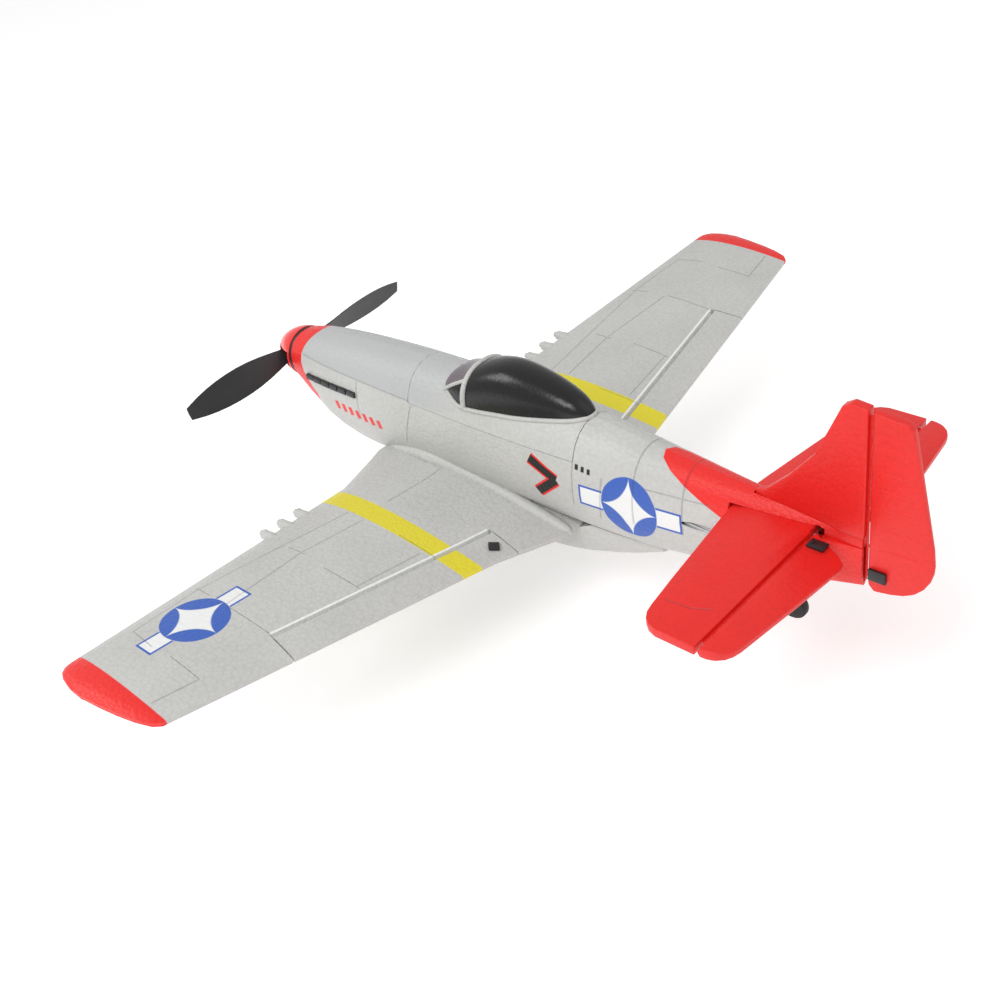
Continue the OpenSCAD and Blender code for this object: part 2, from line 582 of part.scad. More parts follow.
// control horn: foot under the surface and an arm forward to a hole below the hinge line
module horn_arm(foot_x, foot_z, len, t) {
  translate([0, t / 2, 0]) rotate([90, 0, 0]) linear_extrude(t) difference() {
    hull() {
      translate([0, -len]) circle(r = 2.1, $fn = 32);
      translate([foot_x + 1.5, foot_z - 0.6]) square([1, 0.6]);
      translate([foot_x - 3, foot_z - 0.6]) square([1, 0.6]);
    }
    translate([0, -len]) circle(r = 1.3);
  }
}
horn_t = 1.2;
module elevator_horn() {
  y = rod_y - 1.5;
  z = stab_t / 2 - 0.2;
  color(black) translate([elev_hinge_x, y, stab_z]) {
    horn_arm(-5, -z - 1.2, elev_arm, horn_t);
    translate([-8.6, -2.2, -z - 1.3]) cube([6.4, 4.4, 1.1]);
    translate([-8.6, -2.2, z + 0.25]) cube([6.4, 4.4, 0.9]);
    for (x = [-7.6, -3.4]) translate([x, 0, z + 1.15]) cylinder(r = 0.8, h = 0.5);
  }
}
module rudder_horn() {
  h = fin_t / 2;
  color(black) translate([rud_hinge_x, 0, rud_rod_z]) {
    translate([0, 0, 0.9]) linear_extrude(horn_t) difference() {
      hull() {
        translate([0, -rud_arm]) circle(r = 2.1, $fn = 32);
        translate([-3, -h - 0.8]) square([1, 0.6]);
        translate([-7, -h - 0.8]) square([1, 0.6]);
      }
      translate([0, -rud_arm]) circle(r = 1.3);
    }
    translate([-8.2, -h - 1.2, -2.2]) cube([6.4, 1.1, 4.4]);
    translate([-8.2, h + 0.1, -2.2]) cube([6.4, 1, 4.4]);
  }
}

// ---------- aileron linkage
servo_y = 43.5;
servo_x = 32;
ail_arm = 7;
horn_y = 44.5;
hinge_mid = [hinge_x(horn_y), horn_y, plane_z(horn_y) + 0.9];
module aileron_left() {
  color(silver) intersection() {
    wing_panel();
    aileron_wedge();
  }
}
module aileron_right() { mirror([0, 1, 0]) aileron_left(); }
module aileron_horn_left() {
  color(black) translate(hinge_mid) {
    horn_arm(-8, -2.9, ail_arm, horn_t);
    rotate([dihedral, 0, 0]) translate([-12, -2.2, -3.15]) cube([6, 4.4, 0.9]);
    translate([-9.3, 0, 1.38]) rotate([dihedral, -9.1, 0]) rotate([0, 0, 45]) translate([-2.2, -2.2, 0])
      cube([4.4, 4.4, 0.9]);
  }
}
module aileron_horn_right() { mirror([0, 1, 0]) aileron_horn_left(); }
module aileron_servo_left() {
  color([0.15, 0.3, 0.7]) translate([servo_x, servo_y + 16, hinge_mid[2]]) translate([0, -13, 0]) mirror([0, 1, 0])
    difference() {
      translate([-12, -11, -3]) cube([18, 10, 5.6]);
      translate([0, -3, 0]) rotate([-90, 0, 0]) cylinder(r = 1.35, h = 4);
    }
}
module aileron_servo_right() { mirror([0, 1, 0]) aileron_servo_left(); }
module aileron_arm_left() {
  color(white) translate([servo_x, servo_y + 3, hinge_mid[2]]) mirror([0, 1, 0]) difference() {
    union() {
      translate([0, 0.3, 0]) rotate([-90, 0, 0]) cylinder(r = 2.2, h = 1);
      translate([0, -2.4, 0]) rotate([-90, 0, 0]) cylinder(r = 1.3, h = 3);
      translate([-1.6, 0.3, -ail_arm]) cube([3.2, 1, ail_arm]);
      translate([0, 0.3, -ail_arm]) rotate([-90, 0, 0]) cylinder(r = 2, h = 1);
    }
    translate([0, -1, -ail_arm]) rotate([-90, 0, 0]) cylinder(r = 1.2, h = 5);
  }
}
module aileron_arm_right() { mirror([0, 1, 0]) aileron_arm_left(); }
module aileron_rod_left() {
  color(steel) translate([hinge_mid[0], horn_y - 1.6, hinge_mid[2] - ail_arm]) mirror([0, 1, 0])
    pushrod(servo_x - hinge_mid[0], 2.3, 3.2);
}
module aileron_rod_right() { mirror([0, 1, 0]) aileron_rod_left(); }

// ---------- undercarriage
leg_x = 68;
leg_r = leg_d / 2;
axle_z = wheel_d / 2;
socket_z = plane_z(leg_y) - 3.3;
module gear_sockets() {
  color(black) for (s = [-1, 1]) side(s) translate([leg_x, leg_y, 0]) difference() {
    union() {
      translate([0, 0, socket_z - 0.6]) cylinder(r = 3, h = 5.4);
      translate([0, 0, socket_z]) rotate([dihedral, 0, 0]) translate([0, 0, -1]) cylinder(r = 4.2, h = 1);
    }
    translate([0, 0, socket_z - 2]) cylinder(r = leg_r + 0.02, h = 6);
  }
}
module gear_leg_left() {
  color(steel) translate([leg_x, leg_y, 0]) {
    translate([0, 0, axle_z]) cylinder(r = leg_r, h = socket_z + 3.4 - axle_z);
    translate([0, 0, axle_z]) sphere(r = leg_r);
    translate([0, 0, axle_z]) rotate([-90, 0, 0]) cylinder(r = leg_r, h = 12);
    translate([0, 10.6, axle_z]) rotate([-90, 0, 0]) cylinder(r = 2, h = 1.8);
  }
}
module gear_leg_right() { mirror([0, 1, 0]) gear_leg_left(); }
hub_y = leg_y + 2;
hub_w = 7.6;
module wheel_left() {
  color(black) translate([leg_x, hub_y, axle_z]) rotate([-90, 0, 0]) rotate_extrude() difference() {
    union() {
      translate([5, 0.6]) square([wheel_d / 2 - 5 - 2, hub_w - 1.2]);
      translate([wheel_d / 2 - 3.2, hub_w / 2]) circle(r = 3.2);
    }
    square([5, hub_w]);
  }
}
module wheel_right() { mirror([0, 1, 0]) wheel_left(); }
module wheel_hub_left() {
  color(white) translate([leg_x, hub_y, axle_z]) rotate([-90, 0, 0]) difference() {
    cylinder(r = 5, h = hub_w);
    translate([0, 0, -1]) cylinder(r = leg_r + 0.06, h = hub_w + 2);
  }
}
module wheel_hub_right() { mirror([0, 1, 0]) wheel_hub_left(); }
tail_x = -117;
tail_z = 38.8;
tail_r = 6;
tail_plate_t = 1.2;
fork_t = 1;
// fork under a plate that follows the belly
module tail_bracket() {
  plate = [for (x = [tail_x + 4, tail_x + 15]) [x, body_low(x) - gap]];
  foot = [for (x = [tail_x + 6, tail_x + 13]) [x, body_low(x) - gap - tail_plate_t]];
  pin_r = 0.75;
  color(black) {
    for (s = [-1, 1]) side(s) translate([0, 3.6, 0]) rotate([90, 0, 0]) linear_extrude(fork_t) difference() {
      hull() {
        translate([tail_x, tail_z]) circle(r = 2, $fn = 32);
        polygon([foot[0], foot[1], foot[1] + [0, 0.5], foot[0] + [0, 0.5]]);
      }
      translate([tail_x, tail_z]) circle(r = pin_r);
    }
    translate([0, 3.6, 0]) rotate([90, 0, 0]) linear_extrude(7.2)
      polygon([plate[0], plate[1], plate[1] - [0, tail_plate_t], plate[0] - [0, tail_plate_t]]);
    translate([tail_x, -3.9, tail_z]) rotate([-90, 0, 0]) cylinder(r = pin_r, h = 7.8);
  }
}
module tail_wheel() {
  color(black) translate([tail_x, -2, tail_z]) rotate([-90, 0, 0]) difference() {
    union() {
      cylinder(r = tail_r - 0.8, h = 4);
      translate([0, 0, 0.8]) cylinder(r = tail_r, h = 2.4);
    }
    translate([0, 0, -1]) cylinder(r = 0.82, h = 6);
  }
}

fuselage_left();
fuselage_right();
belly_scoop();
wing_left();
wing_right();
wing_spars();
stabiliser();
fin();
hinge_strips();
exhaust_stacks();
motor_frame();
shaft_bearings();
motor_can();
pinion_gear();
prop_shaft();
spur_gear();
spinner_backplate();
propeller();
spinner();
prop_nut();
battery();
battery_tray();
flight_board();
servo_tray();
hatch_deck();
canopy();
hatch_catch();
fuselage_catch();
aileron_left();
aileron_right();
aileron_horn_left();
aileron_horn_right();
aileron_servo_left();
aileron_servo_right();
aileron_arm_left();
aileron_arm_right();
aileron_rod_left();
aileron_rod_right();
elevator_left();
elevator_right();
elevator_joiner();
elevator_horn();
elevator_servo();
elevator_arm();
elevator_rod();
rudder();
rudder_horn();
rudder_servo();
rudder_arm();
rudder_rod();
gear_sockets();
gear_leg_left();
gear_leg_right();
wheel_left();
wheel_right();
wheel_hub_left();
wheel_hub_right();
tail_bracket();
tail_wheel();
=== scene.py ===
# Foam model aeroplane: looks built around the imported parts. Metres; +X nose, +Y left wing, +Z up.
import json
import math
import bpy
from mathutils import Matrix, Vector

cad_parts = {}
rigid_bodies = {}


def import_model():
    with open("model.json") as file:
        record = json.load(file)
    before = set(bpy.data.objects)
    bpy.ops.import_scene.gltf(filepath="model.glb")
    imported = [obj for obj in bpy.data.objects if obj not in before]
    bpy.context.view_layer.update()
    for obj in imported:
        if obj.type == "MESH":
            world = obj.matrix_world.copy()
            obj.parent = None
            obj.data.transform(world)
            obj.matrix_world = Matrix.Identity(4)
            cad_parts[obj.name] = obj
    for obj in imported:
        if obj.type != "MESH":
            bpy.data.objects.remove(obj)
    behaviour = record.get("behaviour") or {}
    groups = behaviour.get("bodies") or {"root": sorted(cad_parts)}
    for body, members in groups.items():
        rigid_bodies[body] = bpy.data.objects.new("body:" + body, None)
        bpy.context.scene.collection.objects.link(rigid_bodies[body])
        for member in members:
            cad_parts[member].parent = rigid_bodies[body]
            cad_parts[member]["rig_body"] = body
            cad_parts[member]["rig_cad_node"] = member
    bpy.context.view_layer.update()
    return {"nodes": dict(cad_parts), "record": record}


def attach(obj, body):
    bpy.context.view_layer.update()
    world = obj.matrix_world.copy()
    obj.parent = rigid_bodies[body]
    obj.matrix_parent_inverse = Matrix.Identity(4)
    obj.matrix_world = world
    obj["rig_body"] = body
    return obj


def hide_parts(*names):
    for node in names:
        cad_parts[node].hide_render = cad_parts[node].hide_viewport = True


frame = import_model()
mm = 0.001
record = frame["record"]
bodyOf = {n: b for b, names in record["behaviour"]["bodies"].items() for n in names}
scene = bpy.context.scene

# ---- camera and light
view = {"turn": 228.259, "height": 35.31, "roll": -9.979, "shift": (20.425, -18.031),
        "distance": 565.415, "target": (58.2, 0, 41), "lens": 45.04}
a, e, r = (math.radians(view[k]) for k in ("turn", "height", "roll"))
back = Vector((math.sin(a) * math.cos(e), -math.cos(a) * math.cos(e), math.sin(e)))
right = Vector((math.cos(a), math.sin(a), 0))
up = back.cross(right)
side = right * math.cos(r) + up * math.sin(r)
top = -right * math.sin(r) + up * math.cos(r)
place = side * view["shift"][0] + top * view["shift"][1] + back * view["distance"] + Vector(view["target"])
bpy.ops.object.camera_add()
camera = bpy.context.object
camera.name = "camera"
camera.matrix_world = Matrix.Translation(place * mm) @ Matrix((side, top, back)).transposed().to_4x4()
camera.data.lens = view["lens"]
camera.data.sensor_width = 36
camera.data.clip_start = 0.01
camera.data.clip_end = 20
scene.camera = camera
scene.view_settings.view_transform = "Standard"

studio = {"sky": 0.66, "lamps": [
    # place, aimed at, size, skinPower
    ((-0.15, 0.75, 0.95), (0, 0, 0.05), 0.5, 4.6),
    ((0.7, 0.5, 0.8), (0, 0, 0.05), 0.4, 2.4),
    ((-0.7, -0.5, 0.9), (0, 0, 0.05), 0.9, 1.0)]}
scene.world = bpy.data.worlds.new("studio")
scene.world.use_nodes = True
scene.world.node_tree.nodes["Background"].inputs["Color"].default_value = (1, 1, 1, 1)
scene.world.node_tree.nodes["Background"].inputs["Strength"].default_value = studio["sky"]
for spot, aim, size, skinPower in studio["lamps"]:
    bpy.ops.object.light_add(type="AREA", location=spot)
    lamp = bpy.context.object
    lamp.data.size = size
    lamp.data.energy = skinPower
    lamp.rotation_euler = (Vector(aim) - Vector(spot)).to_track_quat("-Z", "Y").to_euler()
print("camera and lamps set")


# ---- paint: a small wrapper so that masks are written as sums
class Wire:
    def __init__(self, paint, socket):
        self.paint, self.socket = paint, socket

    def math(self, operation, *values):
        return self.paint.add("Math", {"operation": operation}, values)

    def __add__(self, other):
        return self.math("ADD", self, other)

    def __sub__(self, other):
        return self.math("SUBTRACT", self, other)

    def __rsub__(self, other):
        return self.math("SUBTRACT", other, self)

    def __mul__(self, other):
        return self.math("MULTIPLY", self, other)

    def __truediv__(self, other):
        return self.math("DIVIDE", self, other)

    def __pow__(self, other):
        return self.math("POWER", self, other)

    def __abs__(self):
        return self.math("ABSOLUTE", self)

    def __or__(self, other):
        return self.math("MAXIMUM", self, other)

    __radd__ = __add__
    __rmul__ = __mul__


class Paint:
    def __init__(self, name, **shader):
        self.material = bpy.data.materials.new(name)
        self.material.use_nodes = True
        self.tree = self.material.node_tree
        self.tree.nodes.clear()
        self.shader = self.tree.nodes.new("ShaderNodeBsdfPrincipled")
        output = self.tree.nodes.new("ShaderNodeOutputMaterial")
        self.tree.links.new(self.shader.outputs[0], output.inputs["Surface"])
        for key, value in shader.items():
            self.set(key, value)
        self.spot = self.add("TexCoord", {}, [], "Object")
        self.x, self.y, self.z = (self.add("SeparateXYZ", {}, [self.spot], k) * 1000 for k in "XYZ")

    def set(self, key, value):
        # key is the socket's name without its spaces
        socket = next(s for s in self.shader.inputs if s.name.replace(" ", "").lower() == key.lower())
        self.feed(socket, value)

    def feed(self, socket, value):
        if isinstance(value, Wire):
            self.tree.links.new(value.socket, socket)
        elif isinstance(value, tuple) and len(value) == 3 and len(socket.default_value) == 4:
            socket.default_value = (*value, 1)
        else:
            socket.default_value = value

    def add(self, kind, settings, values, output=0):
        node = self.tree.nodes.new("ShaderNode" + kind)
        for key, value in settings.items():
            setattr(node, key, value)
        pairs = values.items() if isinstance(values, dict) else enumerate(values)
        for key, value in pairs:
            self.feed(node.inputs[key], value)
        return Wire(self, node.outputs[output])

    def ramp(self, value, low, high):
        return self.add("MapRange", {}, {"Value": value, "From Min": low, "From Max": high})

    def band(self, value, low, high, soft=0.3):
        h = soft / 2
        return self.ramp(value, low - h, low + h) * self.ramp(value, high + h, high - h)

    def bar(self, u, v, start, end, half, soft=0.3):
        # straight stroke between two points
        du, dv = end[0] - start[0], end[1] - start[1]
        length = math.hypot(du, dv)
        du, dv = du / length, dv / length
        cu, cv = (start[0] + end[0]) / 2, (start[1] + end[1]) / 2
        along = abs(u * du + v * dv - (cu * du + cv * dv))
        across = abs(v * du - u * dv - (cv * du - cu * dv))
        return (self.ramp(along, length / 2 + soft / 2, length / 2 - soft / 2)
                * self.ramp(across, half + soft / 2, half - soft / 2))

    def strokes(self, u, v, rows, half, soft=0.3):
        mask = None
        for x0, v0, x1, v1 in rows:
            one = self.bar(u, v, (x0, v0), (x1, v1), half, soft)
            mask = one if mask is None else mask | one
        return mask

    def mix(self, mask, first, second):
        node = self.tree.nodes.new("ShaderNodeMix")
        node.data_type = "RGBA"
        for socket, value in zip((node.inputs[0], node.inputs[6], node.inputs[7]), (mask, first, second)):
            self.feed(socket, value)
        return Wire(self, node.outputs[2])

    def noise(self, scale, detail=2.0):
        return self.add("TexNoise", {}, {"Vector": self.spot, "Scale": scale, "Detail": detail})

    def cells(self, size, feature="F1"):
        return self.add("TexVoronoi", {"feature": feature}, {"Vector": self.spot, "Scale": 1 / (size * mm)})

    def bump(self, height, depth):
        self.set("Normal", self.add("Bump", {}, {"Height": height, "Distance": depth * mm}, "Normal"))


# the bluish grey ink for the nose top is a painted sky reflection
inks = {"silver": (0.56, 0.56, 0.54), "dull": (0.45, 0.465, 0.47), "red": (0.80, 0.018, 0.014),
        "yellow": (0.72, 0.63, 0.025), "blue": (0.04, 0.115, 0.47),
        "white": (0.80, 0.81, 0.80), "black": (0.012, 0.012, 0.013)}
# the dark grey for the panel grooves is painted shade in the recess
foam = {"bead": 1.9, "beadDepth": 0.16, "grain": 0.4, "grainDepth": 0.05, "seamDepth": 0.03, "blotches": 28,
        "grooveHalf": 0.2, "grooveSoft": 0.45, "grooveDepth": 0.3, "grooveInk": (0.12, 0.12, 0.12),
        "smooth": 0.36, "rougher": 0.10}


# painted bead foam: rounded beads under the paint, a fine grain, faint blotches
def foamBase(name, colour, shade, deep=1.0):
    p = Paint(name, SpecularIORLevel=0.45)
    bead = p.cells(foam["bead"])
    grain = p.noise(1 / (foam["grain"] * mm), 1.0)
    blotch = p.noise(foam["blotches"], 3.0)
    seam = p.ramp(p.cells(foam["bead"], "DISTANCE_TO_EDGE"), 0.14, 0.0)
    p.height = ((1 - bead * bead) * foam["beadDepth"] + grain * foam["grainDepth"]
                - seam * foam["seamDepth"]) * deep
    tone = p.ramp(bead, 0.2, 0.75) * 0.4 + p.ramp(blotch, 0.35, 0.7) * 0.5 + seam * 0.12 * deep
    p.colour = p.mix(tone, colour, shade)
    p.set("Roughness", p.ramp(grain, 0.3, 0.7) * foam["rougher"] + foam["smooth"])
    return p


# panel grooves: sunk into the relief and darkened with painted shade, then the colour and relief gathered so
# far
def finishFoam(p, grooves, grooveShadeStrength):
    p.height = p.height - grooves * foam["grooveDepth"]
    # the grooves' dark grey is painted shade in the recess
    p.colour = p.mix(grooves * grooveShadeStrength, p.colour, foam["grooveInk"])
    p.set("BaseColor", p.colour)
    p.bump(p.height, 1.0)
    return p.material


# round mark: blue disc, four-pointed white star and two white bars
def roundMark(p, u, v, disc, bar, edge):
    away = (u * u + v * v) ** 0.5
    arms = abs(u / disc) ** 0.62 + abs(v / disc) ** 0.62
    bars = p.band(abs(u), disc * 0.97, bar[0], 0.2) * p.ramp(abs(v), bar[1] + 0.1, bar[1] - 0.1)
    inner = (p.band(abs(u), disc * 0.97, bar[0] - edge, 0.2)
             * p.ramp(abs(v), bar[1] - edge + 0.1, bar[1] - edge - 0.1))
    circle = p.ramp(away, disc + 0.15, disc - 0.15)
    star = p.ramp(arms, 1.02, 0.96)
    p.colour = p.mix(circle | bars, p.colour, inks["blue"])
    p.colour = p.mix((inner * (1 - circle)) | star, p.colour, inks["white"])


bodyMarks = {"ringFront": 138.7, "ringCurve": 0.034, "ringMiddle": 78, "ringReach": 8,
             "arrowTip": -63.2, "arrowHeight": 88.9, "arrowSlope": 0.474,
             "round": (-54.4, 66.4), "disc": 12.3, "stretch": 1.1, "bar": (22.8, 4.2),
             "chevron": [(-7.4, 75.4, -20.6, 69.2), (-20.6, 69.2, -10.6, 60.6)],
             "blocks": [(-30.8, 79.2, -30.8, 76.9), (-33.6, 78.9, -33.6, 76.6), (-36.4, 78.6, -36.4, 76.3)],
             "dashes": [(114 - 4.9 * i, 64.6 - 0.15 * i, 113 - 4.9 * i, 60.4 - 0.15 * i) for i in range(7)],
             "grooves": [(59.8, 78.8, 66.9, 57.5), (-28.9, 79.4, -28.2, 60), (-56.9, 92, -56, 60),
                         (-77.6, 90, -77.4, 62), (-42.6, 76.6, -40.4, 57), (-61.3, 77.3, -90.1, 78),
                         (137, 80.6, 61, 80.2), (96, 80, 97, 60)]}


def bodyPaint():
    m = bodyMarks
    p = foamBase("silverFoamBody", inks["silver"], tuple(c * 0.87 for c in inks["silver"]))
    # painted sky reflection: the top of the nose is tinted bluish grey
    nose = p.ramp(p.z, 79.6, 81) * p.ramp(p.x, 30, 50)
    p.colour = p.mix(nose * 0.8, p.colour, inks["dull"])
    roundMark(p, p.x - m["round"][0], (p.z - m["round"][1]) / m["stretch"], m["disc"], m["bar"], 0.85)
    p.colour = p.mix(p.strokes(p.x, p.z, m["chevron"], 2.7), p.colour, inks["red"])
    p.colour = p.mix(p.strokes(p.x, p.z, m["chevron"], 1.85), p.colour, inks["black"])
    p.colour = p.mix(p.strokes(p.x, p.z, m["blocks"], 0.75), p.colour, inks["black"])
    p.colour = p.mix(p.strokes(p.x, p.z, m["dashes"], 1.35), p.colour, inks["red"])
    rise = p.z - m["ringMiddle"]
    sweepBack = p.add("Math", {"operation": "MINIMUM"}, [rise * rise * m["ringCurve"], m["ringReach"]])
    ring = p.x + sweepBack - m["ringFront"]
    tail = (m["arrowHeight"] - p.z) / m["arrowSlope"] + p.x - m["arrowTip"]
    painted = p.ramp(ring, -0.15, 0.15) | p.ramp(tail, 0.2, -0.2)
    p.colour = p.mix(painted, p.colour, inks["red"])
    return finishFoam(p, p.strokes(p.x, p.z, m["grooves"], foam["grooveHalf"], foam["grooveSoft"]), 0.28)


wingMarks = {"tip": 188.4, "band": (53.7, 64.2), "bandLead": 70, "bandSlope": (0.034, 0.02),
             "round": (41.4, 150.2), "disc": 13.3, "bar": (23, 4.7), "lean": 0.03,
             "hinge": (0.1, 38.2, 13.1, 137.8), "hingeHalf": 1.25, "plane": (43.4, 18, 0.1345),
             "grooves": [(46, 18, 46.4, 50), (53.8, 65.2, 55.9, 98), (55.9, 98, 58.5, 137.7),
                         (43.7, 66.1, 45.1, 96.7), (45.1, 96.7, 40, 137), (3, 64.8, 24, 64.2),
                         (10, 98, 30, 98.4),
                         (13.4, 137.4, 39, 137.6), (12.6, 168.8, 30, 168.5), (12.6, 168.8, 14.6, 187),
                         (59.7, 137, 50.6, 137.3), (54.7, 168.3, 40, 169.6), (58.5, 137.7, 54.7, 168.3),
                         (52.5, 97.5, 43.2, 97), (9, 67, 11.6, 98)]}


def wingPaint():
    m = wingMarks
    p = foamBase("silverFoamWing", inks["silver"], tuple(c * 0.86 for c in inks["silver"]))
    out = abs(p.y)
    aft = m["bandLead"] - p.x
    band = (p.ramp(out - aft * m["bandSlope"][0], m["band"][0] - 0.15, m["band"][0] + 0.15)
            * p.ramp(out - aft * m["bandSlope"][1], m["band"][1] + 0.15, m["band"][1] - 0.15))
    p.colour = p.mix(band, p.colour, inks["yellow"])
    plain = p.colour
    raised = p.z - m["plane"][0] - (out - m["plane"][1]) * m["plane"][2]
    u, v = p.y - m["round"][1], p.x - m["round"][0] + (p.y - m["round"][1]) * m["lean"]
    roundMark(p, u, v, m["disc"], m["bar"], 0.95)
    p.colour = p.mix(p.ramp(raised, 0.2, 0.9), plain, p.colour)     # the mark is on the upper face only
    p.colour = p.mix(p.ramp(out, m["tip"] - 0.2, m["tip"] + 0.2), p.colour, inks["red"])
    # the hinge line is painted white: bare white foam in the cut, and painted light that lifts the shade in
    # the groove
    hingeFoamAndLight = p.bar(p.x, out, m["hinge"][:2], m["hinge"][2:], m["hingeHalf"], 0.3)
    p.colour = p.mix(hingeFoamAndLight, p.colour, inks["white"])
    return finishFoam(p, p.strokes(p.x, out, m["grooves"], foam["grooveHalf"], foam["grooveSoft"]), 0.22)


def tailPaint():
    p = foamBase("redFoam", inks["red"], tuple(c * 0.88 for c in inks["red"]), 0.45)
    out = abs(p.y)
    lines = p.strokes(p.x, out, [(-107.5, 61.5, -116.5, 60.8), (-116.5, 60.8, -123.5, 57.5)], 0.25)
    return finishFoam(p, lines, 0.2)


def plasticPaint(name, colour, rough, grain=0.3, coat=0.0, metal=0.0):
    p = Paint(name, Metallic=metal, CoatWeight=coat, SpecularIORLevel=0.5)
    fine = p.noise(1 / (grain * mm), 2.0)
    cloud = p.noise(60, 3.0)
    p.set("BaseColor", p.mix(p.ramp(cloud, 0.3, 0.7), colour, tuple(min(1, c * 1.25 + 0.004) for c in colour)))
    p.set("Roughness", p.ramp(fine, 0.25, 0.75) * 0.12 + (rough - 0.06))
    p.bump(fine, 0.02)
    return p.material


def wirePaint(name, colour, rough):
    p = Paint(name, Metallic=1.0)
    drawn = p.add("TexNoise", {}, {"Vector": p.add("Mapping", {}, {"Vector": p.spot, "Scale": (40, 900, 900)}),
                                   "Scale": 1.0, "Detail": 2.0})
    p.set("BaseColor", p.mix(p.ramp(drawn, 0.3, 0.7), colour, tuple(c * 0.8 for c in colour)))
    p.set("Roughness", p.ramp(drawn, 0.2, 0.8) * 0.16 + rough)
    p.bump(drawn, 0.01)
    return p.material


def canopyPaint():
    p = Paint("blackCanopy", SpecularIORLevel=0.45)
    grain = p.noise(900, 2.0)
    across = abs(p.y) - (p.x - 28.8) * 0.16
    pane = p.ramp(p.x, 29.0, 29.4) * p.ramp(across, 10.6, 10.2)
    p.set("BaseColor", p.mix(pane, (0.005, 0.005, 0.0055), (0.15, 0.125, 0.14)))
    p.set("Roughness", p.ramp(grain, 0.3, 0.7) * 0.10 + 0.20)
    p.bump(grain + p.cells(1.6) * 0.5, 0.03)
    return p.material


def rubberPaint(name, colour):
    p = Paint(name, SpecularIORLevel=0.4)
    spread = p.noise(700, 2.0)
    p.set("BaseColor", p.mix(p.ramp(spread, 0.3, 0.7), colour, tuple(c * 1.5 for c in colour)))
    p.set("Roughness", p.ramp(spread, 0.3, 0.7) * 0.14 + 0.55)
    p.bump(spread, 0.05)
    return p.material


# printed circuit board: green mask with copper tracks
def boardPaint():
    p = Paint("circuitBoard", SpecularIORLevel=0.5)
    track = p.ramp(p.cells(2.2, "DISTANCE_TO_EDGE"), 0.10, 0.06)
    p.set("BaseColor", p.mix(track, (0.012, 0.11, 0.04), (0.03, 0.22, 0.09)))
    p.set("Roughness", p.noise(400) * 0.15 + 0.3)
    p.bump(track, 0.03)
    return p.material


# shrink-wrapped cell: blue sleeve with a paler printed stripe
def batteryPaint():
    p = Paint("batteryWrap", SpecularIORLevel=0.5, CoatWeight=0.3)
    stripe = p.band(p.x, 62, 84, 0.3)
    crinkle = p.noise(160, 3.0)
    p.set("BaseColor", p.mix(stripe, (0.03, 0.10, 0.42), (0.55, 0.57, 0.60)))
    p.set("Roughness", p.ramp(crinkle, 0.3, 0.7) * 0.15 + 0.22)
    p.bump(crinkle, 0.12)
    return p.material


paints = {
    "body": bodyPaint(), "wing": wingPaint(), "tail": tailPaint(), "canopy": canopyPaint(),
    "redGloss": plasticPaint("redGloss", (0.80, 0.022, 0.018), 0.22, coat=0.4),
    "black": plasticPaint("blackPlastic", (0.012, 0.012, 0.013), 0.42),
    "prop": plasticPaint("propellerPlastic", (0.018, 0.018, 0.019), 0.38),
    "white": plasticPaint("whitePlastic", (0.72, 0.72, 0.69), 0.4),
    "servo": plasticPaint("servoCase", (0.02, 0.07, 0.30), 0.25, coat=0.2),
    "carbon": plasticPaint("carbonRod", (0.015, 0.015, 0.016), 0.35),
    "brass": plasticPaint("cutBrass", (0.62, 0.44, 0.16), 0.3, metal=1.0),
    "steel": wirePaint("springWire", (0.55, 0.56, 0.58), 0.22),
    "bright": wirePaint("platedSteel", (0.70, 0.70, 0.72), 0.14),
    "rubber": rubberPaint("foamRubber", (0.016, 0.016, 0.017)),
    "board": boardPaint(), "battery": batteryPaint(),
}
print("paints ready:", len(paints))


# ---- modelling helpers
def only(piece):
    bpy.ops.object.select_all(action="DESELECT")
    piece.select_set(True)
    bpy.context.view_layer.objects.active = piece


def applyAll(piece):
    only(piece)
    for modifier in list(piece.modifiers):
        bpy.ops.object.modifier_apply(modifier=modifier.name)


def smooth(piece, angle=32):
    only(piece)
    bpy.ops.object.shade_smooth_by_angle(angle=math.radians(angle))


def settle(piece, body, paint):
    # place goes into the mesh, then the piece rides on its body
    only(piece)
    bpy.ops.object.transform_apply(location=True, rotation=True, scale=True)
    piece.data.materials.clear()
    piece.data.materials.append(paints[paint])
    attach(piece, body)
    return piece


def pieceName(node):
    head, *rest = node.split("_")
    return head + "".join(w.capitalize() for w in rest) + "Piece"


# a merged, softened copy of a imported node, shown in its place
def refine(node, paint, angle=32, soften=0.0, steps=2, levels=0):
    piece = frame["nodes"][node].copy()
    piece.data = piece.data.copy()
    scene.collection.objects.link(piece)
    piece.parent = None
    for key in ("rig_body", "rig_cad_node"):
        del piece[key]
    piece.name = pieceName(node)
    only(piece)
    bpy.ops.object.mode_set(mode="EDIT")
    bpy.ops.mesh.select_all(action="SELECT")
    bpy.ops.mesh.remove_doubles(threshold=0.00001)
    if soften:
        bpy.ops.mesh.dissolve_limited(angle_limit=math.radians(1))
    bpy.ops.object.mode_set(mode="OBJECT")
    if piece.data.has_custom_normals:
        bpy.ops.mesh.customdata_custom_splitnormals_clear()
    if soften:
        edge = piece.modifiers.new("roundEdges", "BEVEL")
        edge.width = soften * mm
        edge.segments = steps
        edge.limit_method = "ANGLE"
        edge.angle_limit = math.radians(35)
    if levels:
        finer = piece.modifiers.new("finer", "SUBSURF")
        finer.levels = finer.render_levels = levels
    applyAll(piece)
    smooth(piece, angle)
    settle(piece, bodyOf[node], paint)
    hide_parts(node)
    return piece


